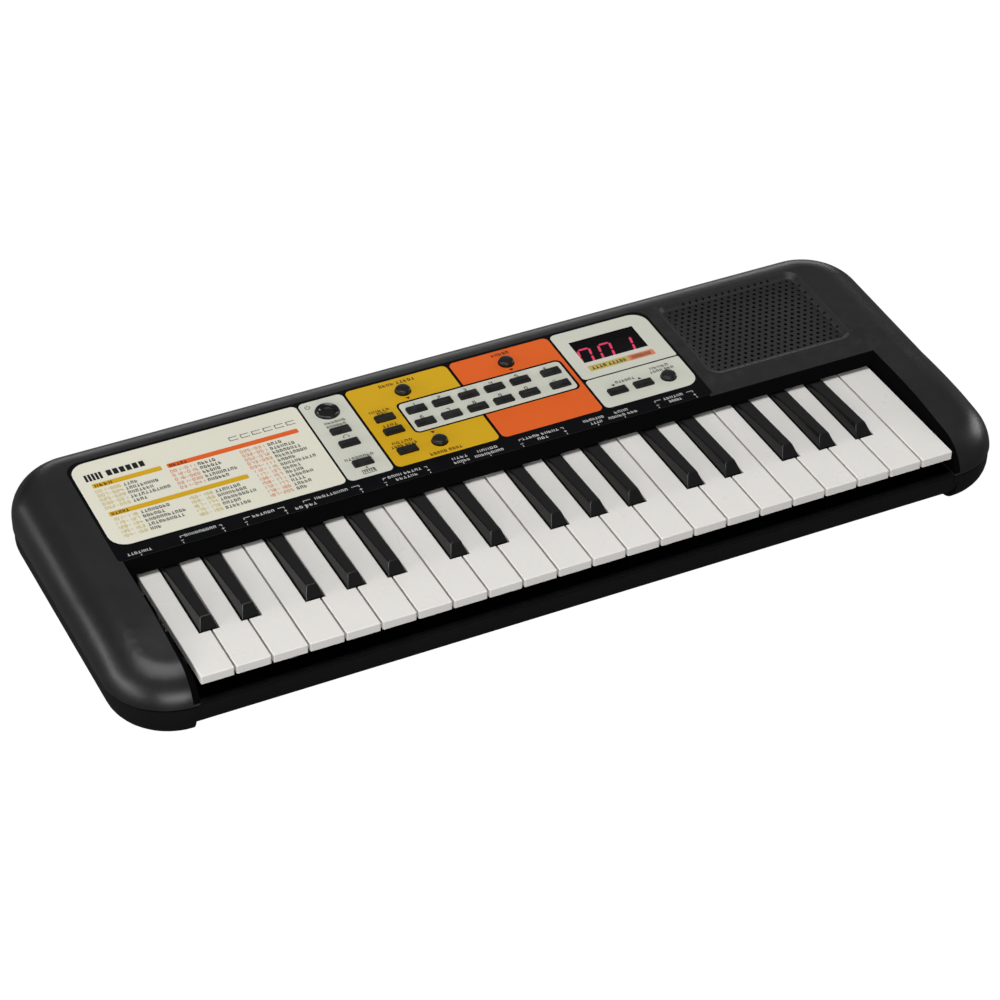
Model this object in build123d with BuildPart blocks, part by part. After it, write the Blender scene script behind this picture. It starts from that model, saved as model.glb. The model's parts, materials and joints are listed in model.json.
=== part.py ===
"""Portable electronic keyboard: 22 white and 15 black keys in a two-part rounded case.

Millimetres. +Z is up, +X runs from bass to treble, -Y is the player's side (the front).
The origin is the centre of the bounding box, on the table.
"""
from build123d import *
import math
import os

os.makedirs("parts", exist_ok=True)

# --- Case -------------------------------------------------------------------
case_width = 506.0
case_depth = 201.0
corner_r = 35.5              # plan corner radius
top_round = 20.5             # round of the top perimeter
bottom_round = 14.5          # round of the bottom perimeter
seam_in = 0.6                # the lower half sits this far inside the upper half's outline
cheek_drop = 3.2             # the pan hangs this much lower under the cheeks
cheek_x = 217.5              # where that step is
wall = 2.5
deck_t = 2.8                 # thickness of the top skin
cut_height = 80              # taller than the case, for cutting right through it

key_top = 42.2               # playing surface of the white keys
parting_z = key_top - 15.0   # split between the two case halves
pan_z = key_top - 33.0       # underside of the lower case's rounded pan
belly_z = 3.0                # underside of the inset belly
belly_x, belly_y = 214.0, 84.0   # half width and half depth of the belly
frame_z = 21.5               # underside of the key frame

# --- Key slot ---------------------------------------------------------------
slot_x = 218.6               # half width at the deck
slot_floor_x = 215.2         # half width at the keys
slot_back = -7.0             # rear edge at the deck
slot_back_low = -15.8        # the same plane carried down to the slot's floor
slot_reach = 150             # the cut runs this far forward, clear of the case
wall_low = key_top + 2.1     # lower edge of the slot's rear wall; the keys run under it

# --- Keys -------------------------------------------------------------------
pitch = 19.5                 # white key pitch
white_count = 22
black_count = 15
key_gap = 1.0
key_front = -97.4
key_thick = 4.8
key_low = key_top - key_thick
semitone = pitch * 7 / 12
row_left = -pitch * white_count / 2

black_half = 4.7             # half width at the white keys' surface
black_lean = 0.34            # how far each side leans in per mm of height
black_front = -65.1
black_rise = 5.8             # height of the top front edge
black_top_front = -61.0
black_rise_rear = 2.65       # height of the top where it nears the rear wall
black_top_rear = -14.4
notch_half = 5.5
notch_y = -65.9              # front edge of the white keys' notches
white_rear = -8.0            # the bodies end under the rear wall
black_rear = -8.8
# Shift in X of each black key, by semitone, off the even twelve-step grid
black_shift = {1: 1.40, 3: 1.16, 6: 1.47, 8: 1.24, 10: 0.86}

pivot_y = 24.0
pivot_z = key_top - 9.0
barrel_r = 2.4
tail_half = 3.75             # half length of the barrel along X
tail_width = 2 * tail_half - 0.3
tail_low, tail_high = pivot_z - 1.2, pivot_z + 1.2
plunger_y, plunger_low = -32.0, key_top - 11.2

# --- Deck -------------------------------------------------------------------
deck_rise = 7.65             # height of the deck over the keys at row deck_y0
deck_y0 = -6.1
deck_front_z = key_top + deck_rise
tilt = math.radians(2.5)     # deck slope, rising to the rear
tilt_cos, tilt_sin = math.cos(tilt), math.sin(tilt)

# Side line of the crown: y, height over key_top
crown_points = [
    (-104, 1.2), (-80.4, 2.4), (-59.6, 5.2),
    (-38.8, 6.9), (-23.1, 7.35), (deck_y0, deck_rise),
]

# --- Control panel and loudspeaker: x and y as seen from above -----------------
panel_t = 1.5                # control panel sheet
panel_x0, panel_x1 = -220.3, 119.3
panel_y0, panel_y1 = -5.0, 78.2
panel_w, panel_h = panel_x1 - panel_x0, panel_y1 - panel_y0
panel_cx, panel_cy = (panel_x0 + panel_x1) / 2, (panel_y0 + panel_y1) / 2

button_w, button_h = 10.8, 5.0
number_xs = [-32.3, -16.9, -1.5, 13.9, 29.3, 47.7]
number_ys = [47.1, 35.3]
number_spots = [(x, y) for y in number_ys for x in number_xs]
side_spots = [(x, y) for x in (-76.5, -50.8) for y in (47.0, 35.2, 17.5)]
octave_spots = [(73.5, 17.5), (89.1, 17.5)]
cap_spots = number_spots + side_spots + octave_spots
round_spots = {
    "style_button": (-32.3, 64.8),
    "start_button": (-32.3, 17.5),
    "voice_button": (29.3, 64.8),
    "instrument_button": (104.4, 17.7),
}
round_r = 4.15
power_spot = (-76.5, 64.8)
power_r = 6.5
switch_spots = cap_spots + list(round_spots.values()) + [power_spot]

# Levels along the deck's normal, from its surface
stem_low = -4.6              # lower end of every button's stem
flange_low, flange_high = -3.1, -1.9
board_top = -9.0             # main board's upper face
board_t = 1.6

window_c = (87.8, 56.9)
window_w, window_h = 39.2, 19.8
grille_c = (171.5, 43.3)
grille_w, grille_h = 90.5, 70.5
speaker_c = (171.5, 48.0)

# --- Fixings, battery bay and sockets: x, y -------------------------------------
screw_spots = [(-234, -58), (234, -58), (-234, 30), (234, 30),
               (-170, 89), (-30, 89), (60, 89), (170, 89)]
screw_hole_r = 1.9
screw_seat_z = 14.0          # top of the screw heads' recesses
foot_spots = [(-198, -70), (0, -70), (198, -70), (-198, 70), (198, 70)]
post_spots = [(x, y) for x in (-200, -100, 0, 100, 200) for y in (-52, 20)]
jack_x, power_in_x, socket_z = -122.0, -98.0, 31.4
socket_spots = [(jack_x, socket_z), (power_in_x, socket_z)]   # x, z
battery_x = 80.0             # half width of the door opening
door_y0 = 42.0               # front edge of the door opening


# --- Helpers ----------------------------------------------------------------
def level(z):
    return Plane.XY.offset(z)


def up(y):
    """Distance up the deck's slope of a point whose plan position is y."""
    return (y - deck_y0) / tilt_cos


def on_deck(*spots):
    """Plan positions as places in a deck plane."""
    return [(x, up(y)) for x, y in spots]


def deck_plane(lift=0.0, x=0.0, y=deck_y0):
    """Plane parallel to the deck, lifted along its normal; local y runs up the slope."""
    return Plane(
        origin=(x, y - lift * tilt_sin, deck_front_z + up(y) * tilt_sin + lift * tilt_cos),
        x_dir=(1, 0, 0),
        z_dir=(0, -tilt_sin, tilt_cos),
    )


def deck_height(shape):
    """Height of a face's or edge's centre over the deck."""
    return deck_plane().to_local_coords(shape.center()).Z


def section_plane(seat):
    """Plane square to the deck through the seat's normal, for profiles to be revolved."""
    return Plane(origin=seat.origin, x_dir=(1, 0, 0), z_dir=(0, -tilt_cos, -tilt_sin))


def case_outline(inset, mode=Mode.ADD):
    """Draw the case's plan, inset all round, in the open sketch."""
    RectangleRounded(case_width - 2 * inset, case_depth - 2 * inset, corner_r - inset, mode=mode)


def panel_outline(gap):
    """Draw the panel's plan, grown by gap: large corners at the rear, small in front."""
    rear_cut = 12            # the small-cornered rectangle stops this far short of the rear
    with Locations(*on_deck((panel_cx, panel_cy))):
        RectangleRounded(panel_w + 2 * gap, panel_h + 2 * gap, 8.2 + gap)
    with Locations(*on_deck((panel_cx, panel_cy - rear_cut / 2))):
        RectangleRounded(panel_w + 2 * gap, panel_h - rear_cut + 2 * gap, 2.0 + gap)


def put(part, name):
    part.label = name
    export_step(part, "parts/" + name + ".step")


# --- Upper case ---------------------------------------------------------------
def crowned_block(inset, drop):
    """Rounded plan under the crown line, with one big round over the top perimeter."""
    line = [(y, key_top + z - drop) for y, z in crown_points]
    rear_y = 110
    rear = (rear_y, deck_front_z - drop + (rear_y - deck_y0) * math.tan(tilt))
    with BuildPart() as block:
        with BuildSketch(level(0)):
            case_outline(inset)
        extrude(amount=cut_height)
        with BuildSketch(Plane.YZ.offset(-300)):
            with BuildLine():
                Spline(line, tangents=((1, 0.03), (tilt_cos, tilt_sin)))
                Polyline(line[-1], rear, (rear_y, 100), (-104, 100), line[0])
            make_face()
        extrude(amount=600, mode=Mode.SUBTRACT)
        # Top perimeter only: no upright edges, nor the line where crown meets deck
        perimeter = [
            e for e in block.edges()
            if e.center().Z > 32 and e.bounding_box().size.Z < 30
            and not (abs(e.center().X) < 1 and abs(e.center().Y) < 90)
        ]
        fillet(perimeter, top_round - inset)
    return block.part


def outer_shape():
    """The upper case as a solid, cut off at the parting line."""
    with BuildPart() as shape:
        add(crowned_block(0, 0))
        with BuildSketch(level(-1)):
            Rectangle(700, 400)
        extrude(amount=parting_z + 1, mode=Mode.SUBTRACT)
    return shape.part


def slot_outline(half_width, back):
    """Draw the slot's plan, open to the front, in the open sketch."""
    with Locations((0, (back - slot_reach) / 2)):
        Rectangle(2 * half_width, back + slot_reach)


def slot_shape(grow):
    """Key slot, widening from the keys to the deck, grown at its sides and rear."""
    flare_z = key_top - 2
    with BuildPart() as slot:
        with BuildSketch(level(flare_z)):
            slot_outline(slot_floor_x + grow, slot_back_low + grow)
        with BuildSketch(level(deck_front_z)):
            slot_outline(slot_x + grow, slot_back + grow)
        loft(ruled=True)
        with BuildSketch(level(deck_front_z)):
            slot_outline(slot_x + grow, slot_back + grow)
        extrude(amount=20)
        with BuildSketch(level(0)):
            slot_outline(slot_floor_x + grow, slot_back_low + grow)
        extrude(amount=flare_z)
    return slot.part


def cavity():
    """Inside of the upper case, leaving a wall round the key slot."""
    with BuildPart() as hollow:
        add(crowned_block(wall, deck_t))
        add(slot_shape(wall), mode=Mode.SUBTRACT)
    return hollow.part


def case_posts(skin):
    """Screw bosses, trimmed to the skin."""
    with BuildPart() as posts:
        with BuildSketch(level(parting_z)):
            with Locations(*screw_spots):
                Circle(3.8)
        extrude(amount=40)
        add(skin, mode=Mode.INTERSECT)
    return posts.part


def upper_case():
    skin = outer_shape()
    with BuildPart() as case:
        add(skin)
        add(cavity(), mode=Mode.SUBTRACT)
        add(case_posts(skin))
        add(slot_shape(0), mode=Mode.SUBTRACT)
        # opening the keys' tails pass through
        with BuildSketch(level(-1)):
            with Locations((0, -6)):
                Rectangle(2 * slot_floor_x, 22)
        extrude(amount=wall_low + 1, mode=Mode.SUBTRACT)
        # posts that carry the main board
        with BuildSketch(deck_plane(board_top)):
            with Locations(*on_deck(*[(x, y) for x in (-217.2, 116.4) for y in (14, 68)])):
                Circle(2.0)
        extrude(amount=7.4)
        # recess for the control panel, and the opening under it
        with BuildSketch(deck_plane()):
            panel_outline(0.3)
        extrude(amount=-panel_t, mode=Mode.SUBTRACT)
        with BuildSketch(deck_plane(-panel_t)):
            with Locations(*on_deck((panel_cx, panel_cy + 1.5))):
                RectangleRounded(panel_w - 10, panel_h - 11, 5)
        extrude(amount=-4, mode=Mode.SUBTRACT)
        # loudspeaker opening, filled by the dished grille
        with BuildSketch(deck_plane()):
            with Locations(*on_deck(grille_c)):
                RectangleRounded(grille_w, grille_h, 8)
        extrude(amount=-deck_t - 1, mode=Mode.SUBTRACT)
        # pilot holes for the case screws
        with BuildSketch(level(parting_z)):
            with Locations(*screw_spots):
                Circle(screw_hole_r)
        extrude(amount=12, mode=Mode.SUBTRACT)
        # rear openings for the headphone socket and the power inlet
        with BuildSketch(Plane.XZ.offset(-case_depth / 2 - 1)):
            with Locations(*socket_spots):
                Circle(3.9)
        extrude(amount=6, mode=Mode.SUBTRACT)
    return case.part


# --- Loudspeaker grille -------------------------------------------------------
def grille_holes():
    """Staggered holes, smaller towards the outline: radius -> places in the deck plane."""
    step_x, step_y = 4.15, 3.55
    margin = 2.9
    centre_x, centre_y = on_deck(grille_c)[0]
    rows = int(grille_h / step_y) + 1
    holes = {}
    for row in range(-rows, rows + 1):
        for column in range(-30, 31):
            x = (column + (0.5 if row % 2 else 0)) * step_x
            y = row * step_y
            across = abs(x) / (grille_w / 2 - margin)
            along = abs(y) / (grille_h / 2 - margin)
            reach = (across ** 7 + along ** 7) ** (1 / 7)   # 1 on a rounded-off rectangle
            if reach <= 1.0:
                radius = round(0.75 + 0.3 * min(1, (1 - reach) / 0.25), 2)
                holes.setdefault(radius, []).append((centre_x + x, centre_y + y))
    return holes


def speaker_grille():
    """Shallow perforated dish, flush with the deck at its rim, flanged under it."""
    low = -4.6
    dish_depth = 2.4
    rim_band = 0.8           # edges this close to the outline belong to it
    centre = on_deck(grille_c)
    with BuildPart() as grille:
        with BuildSketch(deck_plane(low)):
            with Locations(*centre):
                RectangleRounded(grille_w - 0.16, grille_h - 0.16, 7.92)
        extrude(amount=-low)
        with BuildSketch(deck_plane()):
            with Locations(*centre):
                RectangleRounded(grille_w - 2.2, grille_h - 2.2, 7)
        extrude(amount=-dish_depth, taper=54, mode=Mode.SUBTRACT)
        # Mouth of the dish; the length test leaves out the outline's corner arcs
        mouth = [
            e for e in grille.edges()
            if abs(deck_height(e)) < 0.05
            and abs(e.center().X - grille_c[0]) < grille_w / 2 - rim_band
            and abs(e.center().Y - grille_c[1]) < grille_h / 2 - rim_band
            and not 12 < e.length < 20
        ]
        fillet(mouth, 1.2)
        fillet([e for e in grille.edges() if abs(deck_height(e) + dish_depth) < 0.05], 3.0)
        # flange
        with BuildSketch(deck_plane(low)):
            with Locations(*centre):
                RectangleRounded(grille_w + 3, grille_h + 1, 9)
        extrude(amount=1.8)
        with BuildSketch(deck_plane(-5.0)):
            for radius, spots in grille_holes().items():
                with Locations(*spots):
                    Circle(radius)
        extrude(amount=6, mode=Mode.SUBTRACT)
    return grille.part


# --- Lower case ---------------------------------------------------------------
def pan_inside():
    """Hollow of the lower case: the pan, less a strip along the front, and the belly."""
    with BuildPart() as hollow:
        with BuildSketch(level(pan_z + wall)):
            case_outline(wall)
        extrude(amount=30)
        fillet(hollow.faces().sort_by(Axis.Z)[0].edges(), bottom_round - wall)
        with BuildSketch(level(0)):
            with Locations((0, -case_depth / 2)):
                Rectangle(2 * slot_floor_x + 6, 9.6)
        extrude(amount=60, mode=Mode.SUBTRACT)
        with BuildSketch(level(belly_z + wall)):
            RectangleRounded(2 * belly_x - 2 * wall, 2 * belly_y - 2 * wall, 16)
        extrude(amount=8)
    return hollow.part


def pan_block(bottom_z, middle_mode):
    """Solid pan; middle_mode keeps (INTERSECT) or removes (SUBTRACT) all between the cheeks."""
    with BuildPart() as block:
        with BuildSketch(level(bottom_z)):
            case_outline(seam_in)
        extrude(amount=parting_z - bottom_z)
        fillet(block.faces().sort_by(Axis.Z)[0].edges(), bottom_round)
        with BuildSketch(level(-1)):
            Rectangle(2 * cheek_x, 300)
        extrude(amount=cut_height, mode=middle_mode)
    return block.part


def lower_case():
    with BuildPart() as case:
        add(pan_block(pan_z, Mode.INTERSECT))
        add(pan_block(pan_z - cheek_drop, Mode.SUBTRACT))
        # shallow step back along the front, below the keys
        with BuildSketch(level(0)):
            with Locations((0, -case_depth / 2)):
                Rectangle(2 * slot_floor_x + 0.8, 2.0)
        extrude(amount=60, mode=Mode.SUBTRACT)
        # belly
        with BuildSketch(level(belly_z)):
            RectangleRounded(2 * belly_x, 2 * belly_y, 18.5)
        extrude(amount=8)
        chamfer(case.faces().sort_by(Axis.Z)[0].edges(), 1.5)
        add(pan_inside(), mode=Mode.SUBTRACT)
        # shadow line under the upper half
        with BuildSketch(level(parting_z - 1.0)):
            case_outline(-2)
            case_outline(seam_in + 1.0, mode=Mode.SUBTRACT)
        extrude(amount=1.0, mode=Mode.SUBTRACT)
        # screw bosses and key frame posts
        with BuildSketch(level(pan_z + 1.2)):
            with Locations(*screw_spots):
                Circle(5.0)
        extrude(amount=parting_z - pan_z - 1.6)
        with BuildSketch(level(belly_z + 1)):
            with Locations(*post_spots):
                Circle(4.0)
        extrude(amount=frame_z - belly_z - 1)
        # battery bay
        with BuildSketch(level(belly_z)):
            with Locations((0, 61.5)):
                Rectangle(2 * battery_x + 13, 43)
        extrude(amount=22)
        with BuildSketch(level(belly_z + wall)):
            with Locations((0, 61.75)):
                Rectangle(2 * battery_x + 8, 39.5)
        extrude(amount=17.7, mode=Mode.SUBTRACT)
        # door opening and the slot its flange leaves by
        with BuildSketch(level(belly_z - 1)):
            with Locations((0, (door_y0 + 100) / 2)):
                Rectangle(2 * battery_x, 100 - door_y0)
        extrude(amount=wall + 1.05, mode=Mode.SUBTRACT)
        with BuildSketch(level(belly_z + wall)):
            with Locations((0, 90)):
                Rectangle(2 * battery_x + 6.8, 20)
        extrude(amount=1.9, mode=Mode.SUBTRACT)
        # screw holes, counterbored from below
        for radius, height in ((screw_hole_r, 40), (3.5, screw_seat_z)):
            with BuildSketch(level(0)):
                with Locations(*screw_spots):
                    Circle(radius)
            extrude(amount=height, mode=Mode.SUBTRACT)
    return case.part


def battery_door():
    front_gap = 0.4
    plate_t = wall + 0.4
    flange_y0 = door_y0 + 4
    with BuildPart() as door:
        with BuildSketch(level(belly_z)):
            with Locations((0, (door_y0 + front_gap + belly_y) / 2)):
                Rectangle(2 * battery_x - 0.8, belly_y - door_y0 - front_gap)
        extrude(amount=plate_t)
        with BuildSketch(level(belly_z + plate_t)):
            with Locations((0, (flange_y0 + belly_y) / 2)):
                Rectangle(2 * battery_x + 6, belly_y - flange_y0)
        extrude(amount=1.1)
        # four grooves in the underside
        with BuildSketch(level(belly_z)):
            with Locations((0, 52), (0, 55), (0, 58), (0, 61)):
                Rectangle(26, 1.2)
        extrude(amount=0.6, mode=Mode.SUBTRACT)
    return door.part


def battery_set():
    """Six cells in two rows, with a contact plate at each end."""
    cell_z, cell_r, cell_length = 14.9, 7.0, 49.0
    with BuildPart() as batteries:
        for y in (53.6, 69.6):
            for x in (-52.5, 0.0, 52.5):
                with BuildSketch(Plane.YZ.offset(x - cell_length / 2)):
                    with Locations((y, cell_z)):
                        Circle(cell_r)
                extrude(amount=cell_length)
                # terminal
                with BuildSketch(Plane.YZ.offset(x + cell_length / 2 - 0.1)):
                    with Locations((y, cell_z)):
                        Circle(2.6)
                extrude(amount=1.4)
        for x in (-83.4, 82.6):
            with BuildSketch(Plane.YZ.offset(x)):
                with Locations((61.6, cell_z)):
                    Rectangle(27, 10)
            extrude(amount=0.8)
    return batteries.part


def rubber_feet():
    with BuildPart() as feet:
        with BuildSketch(level(0)):
            with Locations(*foot_spots):
                Circle(8.0)
        extrude(amount=belly_z)
        chamfer(feet.faces().filter_by(lambda f: f.center().Z < 0.01).edges(), 0.8)
    return feet.part


def screws():
    """Cross-slotted case screws, heads down."""
    head_t = 2.0
    head_z = screw_seat_z - head_t
    with BuildPart() as screw_set:
        with BuildSketch(level(screw_seat_z)):
            with Locations(*screw_spots):
                Circle(1.5)
        extrude(amount=22)
        with BuildSketch(level(head_z)):
            with Locations(*screw_spots):
                Circle(3.0)
        extrude(amount=head_t)
        with BuildSketch(level(head_z)):
            with Locations(*screw_spots):
                Rectangle(3.6, 0.8)
                Rectangle(0.8, 3.6)
        extrude(amount=1.1, mode=Mode.SUBTRACT)
    return screw_set.part


# --- Control panel, display and main board --------------------------------------
def panel_sheet():
    with BuildPart() as sheet:
        with BuildSketch(deck_plane(-panel_t)):
            panel_outline(0)
            with Locations(*on_deck(*cap_spots)):
                RectangleRounded(button_w + 0.7, button_h + 0.7, 0.8, mode=Mode.SUBTRACT)
            with Locations(*on_deck(*round_spots.values())):
                Circle(round_r + 0.4, mode=Mode.SUBTRACT)
            with Locations(*on_deck(power_spot)):
                Circle(power_r + 0.35, mode=Mode.SUBTRACT)
            with Locations(*on_deck(window_c)):
                Rectangle(window_w, window_h, mode=Mode.SUBTRACT)
        extrude(amount=panel_t)
    return sheet.part


def display_window():
    with BuildPart() as window:
        with BuildSketch(deck_plane(-panel_t)):
            with Locations(*on_deck(window_c)):
                Rectangle(window_w - 0.3, window_h - 0.3)
        extrude(amount=panel_t - 0.25)
    return window.part


def display_module():
    """Block on the main board with a shallow recess in its top."""
    height = 4.2
    with BuildPart() as module:
        with BuildSketch(deck_plane(board_top)):
            with Locations(*on_deck(window_c)):
                Rectangle(41, 21)
        extrude(amount=height)
        with BuildSketch(deck_plane(board_top + height)):
            with Locations(*on_deck(window_c)):
                Rectangle(38, 18)
        extrude(amount=-0.3, mode=Mode.SUBTRACT)
    return module.part


def main_board():
    switch_height = 2.4
    riser_t = 1.6
    socket_low = socket_z - 4.0
    with BuildPart() as board:
        with BuildSketch(deck_plane(board_top - board_t)):
            with Locations(*on_deck((panel_cx, 40.5))):
                Rectangle(338.4, 74)
        extrude(amount=board_t)
        # a switch under every button
        with BuildSketch(deck_plane(board_top)):
            with Locations(*on_deck(*switch_spots)):
                Rectangle(6, 6)
        extrude(amount=switch_height)
        with BuildSketch(deck_plane(board_top + switch_height)):
            with Locations(*on_deck(*switch_spots)):
                Circle(1.7)
        extrude(amount=0.8)
        # four low blocks and three upright cylinders at the bass end
        with BuildSketch(deck_plane(board_top)):
            with Locations(*on_deck((-150, 45), (-180, 30))):
                Rectangle(14, 14)
            with Locations(*on_deck((-125, 55), (-125, 35))):
                Rectangle(5, 10)
        extrude(amount=1.5)
        with BuildSketch(deck_plane(board_top)):
            with Locations(*on_deck((-200, 60), (-188, 60), (-200, 18))):
                Circle(3.2)
        extrude(amount=5.4)
        # socket riser, under the rear of the case
        with BuildSketch(level(socket_low - riser_t)):
            with Locations(((jack_x + power_in_x) / 2, 85.5)):
                Rectangle(44, 17)
        extrude(amount=riser_t)
        with BuildSketch(level(socket_low)):
            with Locations((jack_x, 89), (power_in_x, 89)):
                Rectangle(10, 13)
        extrude(amount=8.0)
        # collars reaching back into the case's rear openings
        with BuildSketch(Plane.XZ.offset(-95.5)):
            with Locations(*socket_spots):
                Circle(3.5)
        extrude(amount=-4.7)
        # bores from the rear, then the inlet's centre pin
        with BuildSketch(Plane.XZ.offset(-case_depth / 2)):
            with Locations((jack_x, socket_z)):
                Circle(1.8)
            with Locations((power_in_x, socket_z)):
                Circle(2.75)
        extrude(amount=14.5, mode=Mode.SUBTRACT)
        with BuildSketch(Plane.XZ.offset(-87)):
            with Locations((power_in_x, socket_z)):
                Circle(0.9)
        extrude(amount=-10.0)
    return board.part


# Half section of the loudspeaker: radius, height over its rim's upper face
speaker_profile = [
    (0, -4.2), (6.5, -2.6), (7.5, -4.4), (24.5, -1.2), (25.6, 0), (28.5, 0),
    (28.5, -1.6), (26.2, -1.6), (16.5, -9.5), (16.5, -15.0), (0, -15.0), (0, -4.2),
]


def speaker():
    seat = deck_plane(-deck_t - 1.8, *speaker_c)
    with BuildPart() as driver:
        with BuildSketch(section_plane(seat)):
            with BuildLine():
                Polyline(*speaker_profile)
            make_face()
        revolve(axis=Axis(seat.origin, seat.z_dir))
    return driver.part


# --- Buttons: cap through the sheet, flange under it, stem over the switch --------
def rect_buttons(spots):
    proud = 2.0
    places = on_deck(*spots)
    with BuildPart() as caps:
        with BuildSketch(deck_plane(-2.0)):
            with Locations(*places):
                Rectangle(button_w, button_h)
        extrude(amount=2.0 + proud)
        chamfer(caps.faces().filter_by(lambda f: deck_height(f) > proud - 0.1).edges(), 0.9)
        with BuildSketch(deck_plane(flange_low)):
            with Locations(*places):
                Rectangle(button_w + 1.8, button_h + 1.8)
        extrude(amount=flange_high - flange_low)
        with BuildSketch(deck_plane(stem_low)):
            with Locations(*places):
                Circle(1.6)
        extrude(amount=1.6)
    return caps.part


def stem_profile(flange_r, cap_r):
    """Lower half section shared by the round buttons: radius, height over the deck."""
    stem_r = 1.6
    return [(0, stem_low), (stem_r, stem_low), (stem_r, flange_low),
            (flange_r, flange_low), (flange_r, flange_high), (cap_r, flange_high)]


def round_button(spot):
    """Slightly domed round button."""
    seat = deck_plane(0, *spot)
    shoulder = (round_r - 1.3, 2.42)
    crest = (0.9, 2.62)
    with BuildPart() as button:
        with BuildSketch(section_plane(seat)):
            with BuildLine():
                Polyline(*stem_profile(5.0, round_r), (round_r, 1.3))
                ThreePointArc((round_r, 1.3), (round_r - 0.42, 2.12), shoulder)
                ThreePointArc(shoulder, (round_r - 2.2, 2.55), crest)
                Polyline(crest, (0, 2.62), (0, stem_low))
            make_face()
        revolve(axis=Axis(seat.origin, seat.z_dir))
    return button.part


def power_button():
    """Round button with a raised rim and a dished middle."""
    seat = deck_plane(0, *power_spot)
    rim, slope_end, middle = (5.85, 1.4), (3.9, -0.1), (0.9, -0.5)
    with BuildPart() as button:
        with BuildSketch(section_plane(seat)):
            with BuildLine():
                Polyline(*stem_profile(7.6, power_r), (power_r, 0.7))
                ThreePointArc((power_r, 0.7), (6.33, 1.22), rim)
                ThreePointArc(rim, (4.75, 0.75), slope_end)
                ThreePointArc(slope_end, (2.5, -0.4), middle)
                Polyline(middle, (0, -0.5), (0, stem_low))
            make_face()
        revolve(axis=Axis(seat.origin, seat.z_dir))
    return button.part


# --- Keys ---------------------------------------------------------------------
white_semis = [0, 2, 4, 5, 7, 9, 11]
black_semis = [1, 3, 6, 8, 10]
# Whether each white key of the octave has a black neighbour on that side
has_left = [False, True, True, False, True, True, True]
has_right = [True, True, False, True, True, True, False]


def semi_x(octave, semi):
    """Centre of a semitone's plunger and tail."""
    return row_left + octave * 7 * pitch + (semi + 0.5) * semitone + black_shift.get(semi, 0)


def key_on_tail(body, x, rear_y, plunger_top):
    """Add the plunger, and the tail that runs under the deck to a barrel on the pivot."""
    root_y = rear_y - 3
    with BuildPart() as key:
        add(body)
        with BuildSketch(level(plunger_low)):
            with Locations((x, plunger_y)):
                Rectangle(4, 4)
        extrude(amount=plunger_top - plunger_low)
        with BuildSketch(level(tail_low)):
            with Locations((x, root_y)):
                Rectangle(tail_width, 6)
        extrude(amount=key_top - 1.5 - tail_low)
        with BuildSketch(level(tail_low)):
            with Locations((x, (root_y + pivot_y) / 2)):
                Rectangle(tail_width, pivot_y - root_y)
        extrude(amount=tail_high - tail_low)
        with BuildSketch(Plane.YZ.offset(x - tail_half)):
            with Locations((pivot_y, pivot_z)):
                Circle(barrel_r)
        extrude(amount=2 * tail_half)
    return key.part


def white_key(i):
    octave, step = divmod(i, 7)
    semi = white_semis[step]
    left = row_left + i * pitch + key_gap / 2
    right = row_left + (i + 1) * pitch - key_gap / 2
    if i == 0:
        left += 1.0          # the lowest key is narrower
    rear_left, rear_right = left, right
    if has_left[step]:
        rear_left = semi_x(octave, semi - 1) + notch_half
    if has_right[step] and i < white_count - 1:
        rear_right = semi_x(octave, semi + 1) - notch_half
    front_x, front_y = (left + right) / 2, (key_front + notch_y) / 2
    rear_x = (rear_left + rear_right) / 2
    overlap = 5              # the rear rectangle starts this far inside the front one
    with BuildPart() as body:
        with BuildSketch(level(key_top)):
            with Locations((front_x, front_y)):
                Rectangle(right - left, notch_y - key_front)
            with Locations((rear_x, (notch_y - overlap + white_rear) / 2)):
                Rectangle(rear_right - rear_left, white_rear - notch_y + overlap)
        extrude(amount=-key_thick)
        uprights = body.edges().filter_by(Axis.Z)
        fillet([e for e in uprights if e.center().Y < key_front + 1], 0.9)
        fillet(body.faces().sort_by(Axis.Z)[-1].edges(), 0.55)
        # hollow underside
        with BuildSketch(level(key_low)):
            with Locations((front_x, front_y)):
                Rectangle(right - left - 3, notch_y - key_front - 3)
            with Locations((rear_x, (notch_y + white_rear - 8) / 2)):
                Rectangle(rear_right - rear_left - 3, white_rear - notch_y - 9)
        extrude(amount=key_thick - 2.2, mode=Mode.SUBTRACT)
    return key_on_tail(body.part, semi_x(octave, semi), white_rear, key_top - 1.5)


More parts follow.
